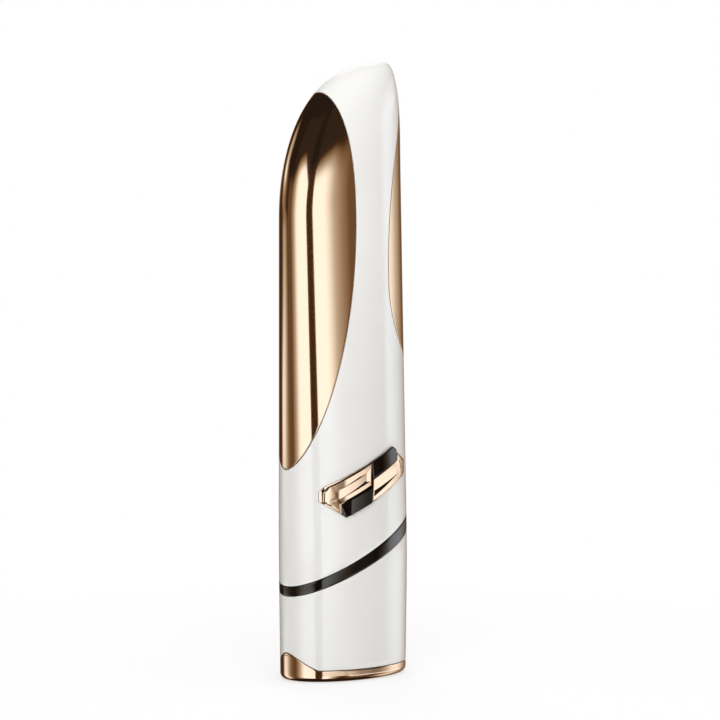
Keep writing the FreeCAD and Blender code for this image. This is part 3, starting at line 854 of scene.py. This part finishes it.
def press_pocket(piece, outline, depth):
    """Split the skin along a convex outline and press what lies within it straight back."""
    work = bmesh.new()
    work.from_mesh(piece.data)
    corners = [Vector((u, 0, badge_z + badge_slope * u + w)) * MM for u, w in outline]
    for a, b in zip(corners, corners[1:] + corners[:1]):
        faces = front_faces(work, outline, cut_margin)
        parts = dict.fromkeys(part for face in faces for part in (*face.verts, *face.edges))
        bmesh.ops.bisect_plane(work, geom=[*parts, *faces], dist=sliver_distance,
                               plane_co=a, plane_no=(b - a).cross((0, 1, 0)))
    inside = front_faces(work, outline, 0.0)
    pressed = bmesh.ops.extrude_face_region(work, geom=inside)["geom"]
    floor = [part for part in pressed if isinstance(part, bmesh.types.BMVert)]
    floor_points = len(floor)
    bmesh.ops.translate(work, verts=floor, vec=(0, depth * MM, 0))
    bmesh.ops.delete(work, geom=inside, context="FACES")
    close_mesh(piece.data, work, loft_sharp_angle)
    print(piece.name, "pocket pressed with", floor_points, "points")


press_pocket(white_casing, pocket_outline, pocket_depth)

# %% [markdown]
# ## Writing shaders as expressions
# A node tree grows quickly when every link is drawn by hand. The small class below wraps one output
# socket, so that plain arithmetic adds the Math nodes, and one method makes any other node from its
# type, settings and sockets.


# %% Sockets with arithmetic
class Wire:
    """An output socket whose arithmetic adds Math nodes to its tree."""

    def __init__(self, paint, socket):
        self.paint = paint
        self.socket = socket

    def __getitem__(self, name):
        return Wire(self.paint, self.socket.node.outputs[name])

    def math(self, operation, first, second):
        return self.paint.node("Math", {"operation": operation}, {0: first, 1: second})

    def __add__(self, other):
        return self.math("ADD", self, other)

    def __sub__(self, other):
        return self.math("SUBTRACT", self, other)

    def __rsub__(self, other):
        return self.math("SUBTRACT", other, self)

    def __mul__(self, other):
        return self.math("MULTIPLY", self, other)

    __radd__ = __add__
    __rmul__ = __mul__


print("a wire adds, subtracts and multiplies")


# %% Node trees
class Paint:
    """A node tree that is filled by calls."""

    def __init__(self, owner):
        owner.use_nodes = True
        self.tree = owner.node_tree
        self.tree.nodes.clear()

    def node(self, kind, settings=None, sockets=None):
        node = self.tree.nodes.new("ShaderNode" + kind)
        for name, value in (settings or {}).items():
            if name == "stops":
                self.set_stops(node.color_ramp, value)
            else:
                setattr(node, name, value)
        for name, value in (sockets or {}).items():
            if isinstance(value, Wire):
                self.tree.links.new(value.socket, node.inputs[name])
            else:
                node.inputs[name].default_value = value
        return Wire(self, node.outputs[0]) if node.outputs else None

    def set_stops(self, ramp, stops):
        while len(ramp.elements) < len(stops):
            ramp.elements.new(1.0)
        for element, (place, colour) in zip(ramp.elements, stops):
            element.position = place
            element.color = colour

    def blend(self, factor, first, second):
        """Colour between two others, by a Mix node."""
        return self.node("Mix", {"data_type": "RGBA"}, {0: factor, 6: first, 7: second})[2]

    def ramp(self, value, low, high, smooth=True):
        """Value that goes from 0 at low to 1 at high."""
        settings = {"interpolation_type": "SMOOTHSTEP" if smooth else "LINEAR"}
        return self.node("MapRange", settings, {"Value": value, "From Min": low, "From Max": high})

    def noise(self, scale, detail=3.0, roughness=0.5, stretch=(1, 1, 1)):
        """Noise over the object, with its scale in features per metre, stretched along an axis."""
        place = self.node("TexCoord")["Object"]
        place = self.node("VectorMath", {"operation": "MULTIPLY"}, {0: place, 1: stretch})
        return self.node("TexNoise", None, {"Vector": place, "Scale": scale, "Detail": detail,
                                            "Roughness": roughness})

    def bump(self, height, strength, distance):
        return self.node("Bump", None, {"Height": height, "Strength": strength, "Distance": distance})

    def surface(self, **sockets):
        """Principled surface as the tree's output; underscores in the names stand for spaces."""
        named = {name.replace("_", " "): value for name, value in sockets.items()}
        shader = self.node("BsdfPrincipled", None, named)
        self.node("OutputMaterial", None, {"Surface": shader})


def grey(value):
    """Opaque colour with the same red, green and blue."""
    return (value, value, value, 1.0)


def new_material(name):
    """Empty material and its node tree."""
    material = bpy.data.materials.new(name)
    return material, Paint(material)


print("shader helpers ready")

# %% [markdown]
# ## The outer finishes
# White lacquer is a sprayed film: almost even, with a faint ripple and slightly cloudy gloss. Its colour is
# painted whiter on the upper half as painted light, and darker low down as painted shade. The gold is plated
# on a polished moulding, so it is a mirror with very fine polishing marks along its length. The black ring
# and inlays are gloss plastic that picks up a trace of dust.

# %% White lacquer
# Heights in metres over which the lacquer goes from its painted shade low down to its painted lighter top
painted_light_rise = (0.06, 0.115)


def white_lacquer():
    """White film under a clear coat, painted darker low down and whiter above as painted shade and light."""
    material, paint = new_material("white_lacquer")
    cloud = paint.noise(90.0, 4.0)["Fac"]
    ripple = paint.noise(900.0, 2.0)["Fac"]
    rise = paint.node("SeparateXYZ", None, {0: paint.node("TexCoord")["Object"]})["Z"]
    film = paint.blend(cloud, (0.765, 0.757, 0.732, 1), (0.795, 0.789, 0.767, 1))
    # Painted light: the lacquer's upper half is painted whiter than the film below it
    painted_light_film = paint.blend(cloud, (0.85, 0.843, 0.82, 1), (0.88, 0.875, 0.855, 1))
    paint.surface(Base_Color=paint.blend(paint.ramp(rise, *painted_light_rise), film, painted_light_film),
                  Roughness=0.2 + cloud * 0.06,
                  Normal=paint.bump(ripple, 0.03, 0.00005),
                  Specular_IOR_Level=0.1, Coat_Weight=0.85 + cloud * 0.1, Coat_Roughness=0.07, Coat_IOR=1.7)
    return material


# Prints the heights over which the lacquer is painted lighter towards the top
print("white film lightens from %.3f to %.3f m" % painted_light_rise)


# %% Gold and black
def mirror_gold():
    """Polished gold plate with marks along the wand and a faint haze."""
    material, paint = new_material("mirror_gold")
    marks = paint.noise(700.0, 5.0, 0.65, (1, 1, 0.04))["Fac"]
    haze = paint.noise(60.0, 3.0)["Fac"]
    paint.surface(Base_Color=paint.blend(haze, (0.79, 0.585, 0.405, 1), (0.81, 0.615, 0.435, 1)),
                  Metallic=1.0,
                  Roughness=0.05 + marks * 0.03 + haze * 0.02,
                  Normal=paint.bump(marks, 0.02, 0.00002))
    return material


def black_gloss():
    """Black gloss plastic with specks of dust."""
    material, paint = new_material("black_gloss")
    specks = paint.ramp(paint.noise(2600.0, 2.0)["Fac"], 0.62, 0.8)
    haze = paint.noise(140.0, 3.0)["Fac"]
    paint.surface(Base_Color=paint.blend(specks, (0.0015, 0.0015, 0.002, 1), grey(0.01)),
                  Roughness=0.06 + haze * 0.05,
                  Normal=paint.bump(haze, 0.02, 0.00005),
                  IOR=1.7, Specular_Tint=(1.0, 0.96, 0.87, 1))
    return material


outer = {finish.__name__: finish() for finish in (white_lacquer, mirror_gold, black_gloss)}
print(sorted(outer))

# %% [markdown]
# ## Finishes of the inner pieces
# Nothing of the inside shows until the wand is opened, but each piece is finished all the same: moulded
# plastic with a fine grain, a green board with lighter tracks, foam with open cells and plated metal.
# The record already holds their main colours, so the grain only varies those.

# %% Inner finishes
base_colours = {row["slot"]: row["base_color"] for row in frame["record"]["materials"]}


def shade(slot, factor):
    """The record's colour of a slot, made darker or lighter."""
    return tuple(min(1.0, value * factor) for value in base_colours[slot]) + (1.0,)


def grained(slot, roughness, scale, depth, metallic=0.0):
    """Finish with a fine grain in its colour, gloss and surface."""
    material, paint = new_material(slot)
    grain = paint.noise(scale, 4.0)["Fac"]
    paint.surface(Base_Color=paint.blend(grain, shade(slot, 0.8), shade(slot, 1.15)), Metallic=metallic,
                  Roughness=roughness + (grain - 0.5) * 0.15,
                  Normal=paint.bump(grain, 0.3, depth))
    return material


def board_green():
    """Green board with lighter tracks and a trace of its glass fibre."""
    material, paint = new_material("board_green")
    place = paint.node("TexCoord")["Object"]
    grid = {"Vector": place, "Scale": 320.0, "Mortar Size": 0.03}
    tracks = paint.node("TexBrick", {"offset": 0.5}, grid)["Fac"]
    fibre = paint.noise(1500.0, 3.0)["Fac"]
    mask = paint.blend(fibre, shade("board_green", 0.8), shade("board_green", 1.1))
    paint.surface(Base_Color=paint.blend(tracks, mask, shade("board_green", 2.0)),
                  Roughness=0.35 + fibre * 0.1,
                  Normal=paint.bump(tracks, 0.2, 0.00003))
    return material


# Roughness, grains per metre, depth of the grain in metres and, for metal, 1
grains = {
    "dark_seal": (0.55, 1800.0, 0.00004),
    "frame_plastic": (0.5, 1600.0, 0.00003),
    "chip_black": (0.45, 2500.0, 0.00002),
    "switch_stem": (0.4, 1500.0, 0.00002),
    "bright_steel": (0.25, 1200.0, 0.00001, 1.0),
    "battery_wrap": (0.3, 700.0, 0.00003),
    "foam": (0.85, 2200.0, 0.0001),
    "contact_brass": (0.25, 1200.0, 0.00001, 1.0),
}
inner = {slot: grained(slot, *grain) for slot, grain in grains.items()}
inner["board_green"] = board_green()
print(sorted(inner))

# %% [markdown]
# ## Dressing the frame
# Each CAD node takes the finish that the record names for it. The lofted and wrapped pieces then stand
# in for the outer nodes, and ride on the same bodies: the buttons on their own, everything else on the
# main body.

# %% Assign finishes and bodies
finishes = {**outer, **inner}
node_slots = {row["node"]: row["material_slot"] for row in frame["record"]["subparts"]}
for name, node in frame["nodes"].items():
    node.data.materials.clear()
    node.data.materials.append(finishes[node_slots[name]])

stand_ins = [
    (white_casing, "upper_shell", "body"),
    (lower_casing, "lower_shell", "body"),
    (gloss_ring, "band_ring", "body"),
    (foot, "base_cap", "body"),
    (left_leaf, "left_leaf_plate", "body"),
    (right_leaf, "right_leaf_plate", "body"),
    (bezel, "badge_bezel", "body"),
    (left_inlay, "left_inlay", "body"),
    (right_inlay, "right_inlay", "body"),
    (left_button, "left_button", "left_button"),
    (right_button, "right_button", "right_button"),
]
for piece, node_name, body in stand_ins:
    piece.data.materials.append(finishes[node_slots[node_name]])
    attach(piece, body)
    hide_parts(node_name)
    node_slots[node_name]
print(len(stand_ins), "outer pieces dressed")

# %% [markdown]
# ## The studio
# Polished metal looks like what surrounds it. The wand stands between tall soft boxes with darker gaps
# between them, under a dark ceiling, so the gold shows broad cream bands with brown edges. Small cards
# each light one plane, such as a pad of the badge. The room is painted on the world, by azimuth and
# elevation in degrees, and only mirror rays see it. The camera sees plain white, and matt surfaces get
# even light.


# %% Directions in the room
class Room(Paint):
    """Node tree of the world, painted by direction, with low belts in which the boxes change their width."""

    def __init__(self, owner):
        super().__init__(owner)
        direction = self.node("SeparateXYZ", None, {0: self.node("TexCoord")["Generated"]})
        ahead = 0.0 - direction["Y"]
        turn = self.node("Math", {"operation": "ARCTAN2"}, {0: direction["X"], 1: ahead})
        self.azimuth = turn * (180 / math.pi)
        self.elevation = self.node("Math", {"operation": "ARCSINE"}, {0: direction["Z"]}) * (180 / math.pi)
        self.low = 1 - self.climb(-6.8, -5.4)
        self.waist = self.belt((-9.8, -9.4), (-8.0, -6.5))
        self.deep = 1 - self.climb(-9.8, -9.4)
        self.deeper = 1 - self.climb(-11.4, -10.8)

    def climb(self, start, end, smooth=True):
        """0 below the first elevation and 1 above the second."""
        return self.ramp(self.elevation, start, end, smooth)

    def window(self, value, rise, fall, smooth=True):
        """1 between two soft edges, each given as where it starts and ends."""
        return self.ramp(value, *rise) * (1 - self.ramp(value, *fall, smooth))

    def panel(self, rise, fall, smooth=True):
        """Window in azimuth."""
        return self.window(self.azimuth, rise, fall, smooth)

    def belt(self, rise, fall):
        """Window in elevation."""
        return self.window(self.elevation, rise, fall)


world = bpy.data.worlds.new("studio")
bpy.context.scene.world = world
room = Room(world)
print("room with", len(room.tree.nodes), "nodes for its directions")

# %% Soft boxes in front
box_bottom = (-50, -42)


def left_box():
    """Tall box that leans away and is highest on its right."""
    lean = 20 * room.climb(6, 22, False)
    fall = -44.5 - 9 * room.waist - lean, -43 - 3 * room.waist - lean
    box = room.panel((-104, -62), fall) * (1 - 0.4 * room.waist)
    arch = 9 * room.ramp(room.azimuth, -104, -74)
    return box * room.window(room.elevation - arch, box_bottom, (2, 15))


def right_box():
    """Tall box that fades to the right, by steps of its own low down."""
    waist, deep, deeper = room.waist, room.deep, room.deeper
    lean = 12 * room.climb(9, 16, False)
    fall = 15 * deep - 11 * waist - 24 * deeper - 13, 20 - 6 * waist + 4 * deep - 26 * deeper
    box = room.panel((lean - 30.5, lean - 29), fall, False) * (1 - 0.3 * deep + 0.3 * deeper)
    droop = 5 * room.ramp(room.azimuth, -5, 15)
    return box * room.window(room.elevation + droop, box_bottom, (2, 14))


front_boxes = left_box() + right_box()
print("front boxes reach down to", box_bottom[0], "degrees")


# %% Boxes at the sides and behind
def side_box():
    """Box on the right, which is wider low down."""
    low = room.low
    box = room.panel((54 - 12 * low, 68 + 6 * low), (62 + 20 * low, 116 + 4 * low), False)
    return box * (1 - 0.35 * room.deep)


def back_lobe():
    """Glow from behind on the left, which shows as a thin line along the rim of the left leaf."""
    lift = room.climb(-6.2, -4.8)
    settle = room.climb(-3, 0)
    swing = 12 * (lift - settle)
    lobe = room.panel((swing - 170, swing - 152), (swing - 148, -106 - 4 * lift - 14 * settle))
    lobe = 0.82 * lobe * (1 - 0.65 * room.waist) * (1 - 0.7 * room.climb(-6.2, -3.2))
    return lobe + 0.2 * room.panel((110, 130), (150, 175))


def between():
    """Dim light in the gaps between the boxes."""
    gaps = 0.06 + 0.07 * room.panel((4, 18), (30, 44)) * (1 - room.waist)
    return gaps + 0.06 * room.panel((-116, -110), (-104, -98))


rear_boxes = (side_box() + back_lobe() + between()) * room.belt(box_bottom, (6, 16))
above = 0.03 * (room.panel((-104, -100), (-46, -43)) + room.panel((-31, -29), (10, 20)))
brightness = front_boxes + rear_boxes + above * room.belt((4, 16), (44, 50))
print("boxes on all sides,", len(room.tree.nodes), "nodes")

# %% Cards and backdrop
# Brightness, window in azimuth and window in elevation
cards = {
    "upper_card": (0.6, ((46, 58), (80, 100)), ((0.8, 1.6), (4.2, 5.0))),
    "pad_card": (0.9, ((5, 12), (84, 100)), ((-14.4, -13.6), (-10.8, -10.2))),
    "inlay_card": (0.7, ((6, 16), (20, 46), False), ((-19, -18), (-15.2, -14.6))),
    "rim_card": (0.6, ((-172, -158), (-154, -136)), ((0, 8), (18, 30))),
    "backdrop": (0.72, ((112, 126), (158, 172)), ((-4, 0), (40, 70))),
}
for strength, panel, belt in cards.values():
    brightness = brightness + strength * room.panel(*panel) * room.belt(*belt)
print(list(cards))

# %% World
room_strength = 2.0
even_strength = 0.43
room_stops = [(0.0, (0.011, 0.0075, 0.0055, 1)), (0.03, (0.019, 0.012, 0.0085, 1)),
              (0.06, (0.033, 0.015, 0.007, 1)), (0.13, (0.09, 0.055, 0.03, 1)), (0.35, (0.2, 0.15, 0.11, 1)),
              (0.6, (0.33, 0.31, 0.28, 1)), (0.8, (0.56, 0.58, 0.6, 1)), (1.0, (0.75, 0.78, 0.86, 1))]
room_colour = room.node("ValToRGB", {"stops": room_stops}, {"Fac": brightness})
rays = room.node("LightPath")
room_light = room.node("Background", None, {"Color": room_colour, "Strength": room_strength})
even_light = room.node("Background", None, {"Color": (1.0, 0.995, 0.985, 1), "Strength": even_strength})
white_light = room.node("Background", None, {"Color": grey(1.0), "Strength": 1.0})
lit = room.node("MixShader", None, {0: rays["Is Glossy Ray"], 1: even_light, 2: room_light})
seen = room.node("MixShader", None, {0: rays["Is Camera Ray"], 1: lit, 2: white_light})
room.node("OutputWorld", None, {"Surface": seen})
print("studio room painted with", len(room.tree.nodes), "nodes")

# %% [markdown]
# ## Floor, lamps and camera
# The floor is a pale disc that fades to the white of the backdrop, so that it keeps a soft shadow but
# no horizon. Large lamps above, at the left front and behind lift the dome, the left side and the back
# a little. The camera stands low on the left front, far away and with a long lens, as the upright edges
# of the wand hardly lean.

# %% Floor
floor_radius = 0.6
floor_sides = 96
floor_drop = 0.0002
floor_grey = 0.9
shadow_reach = (0.02, 0.17)
shadow_share = 0.3


def make_floor():
    """Disc that shows the camera white, with a share of its true shading near the wand."""
    mesh = bpy.data.meshes.new("pale_floor")
    work = bmesh.new()
    bmesh.ops.create_circle(work, cap_ends=True, segments=floor_sides, radius=floor_radius)
    work.to_mesh(mesh)
    work.free()
    floor = bpy.data.objects.new("pale_floor", mesh)
    bpy.context.scene.collection.objects.link(floor)
    floor.location.z = -floor_drop
    material, paint = new_material("pale_floor")
    place = paint.node("TexCoord")["Object"]
    away = paint.node("VectorMath", {"operation": "LENGTH"}, {0: place})["Value"]
    rays = paint.node("LightPath")
    matt = paint.node("BsdfDiffuse", None, {"Color": grey(floor_grey)})
    white = paint.node("Emission", None, {"Color": grey(1.0), "Strength": 1.0})
    keep = (1 - paint.ramp(away, *shadow_reach)) * shadow_share
    near = paint.node("MixShader", None, {0: keep, 1: white, 2: matt})
    floor_shader = paint.node("MixShader", None, {0: rays["Is Camera Ray"], 1: matt, 2: near})
    paint.node("OutputMaterial", None, {"Surface": floor_shader})
    mesh.materials.append(material)
    floor.visible_glossy = False
    return floor


floor = make_floor()
print("floor", tuple(round(value, 2) for value in floor.dimensions))

# %% Lamps
lamp_target = Vector((0, 0, 0.08))


def soft_lamp(name, place, size, power):
    """Square lamp that looks at the middle of the wand and stays out of its reflections."""
    lamp = bpy.data.lights.new(name, "AREA")
    lamp.size = size
    lamp.energy = power
    holder = bpy.data.objects.new(name, lamp)
    bpy.context.scene.collection.objects.link(holder)
    holder.location = place
    holder.rotation_euler = (lamp_target - Vector(place)).to_track_quat("-Z", "Y").to_euler()
    holder.visible_glossy = False
    holder.visible_camera = False
    return holder


lamps = [soft_lamp("top_lamp", (0.1, -0.15, 1.1), 0.9, 4.0),
         soft_lamp("key_lamp", (-0.39, -0.46, 0.5), 0.5, 2.9),
         soft_lamp("back_lamp", (0.45, 0.9, 0.6), 0.8, 4.0)]
print(len(lamps), "lamps")

# %% Camera
view_azimuth = math.radians(-38.4)
view_elevation = math.radians(6.21)
view_distance = 1.4
sensor_width = 36.0
focal_length = 286.9
view_middle = Vector((0, 0, 0.075))
picture_width = 720
middle_pixel = (343.18, 369.85)
out = Vector((math.sin(view_azimuth) * math.cos(view_elevation),
              -math.cos(view_azimuth) * math.cos(view_elevation), math.sin(view_elevation)))
lens = bpy.data.cameras.new("photo_camera")
lens.sensor_width = sensor_width
lens.lens = focal_length
lens.shift_x = (picture_width / 2 - middle_pixel[0]) / picture_width
lens.shift_y = (middle_pixel[1] - picture_width / 2) / picture_width
camera = bpy.data.objects.new("photo_camera", lens)
bpy.context.scene.collection.objects.link(camera)
camera.location = view_middle + out * view_distance
camera.rotation_euler = (-out).to_track_quat("-Z", "Y").to_euler()
bpy.context.scene.camera = camera
bpy.context.scene.view_settings.view_transform = "Standard"
print("camera at", tuple(round(value, 3) for value in camera.location))
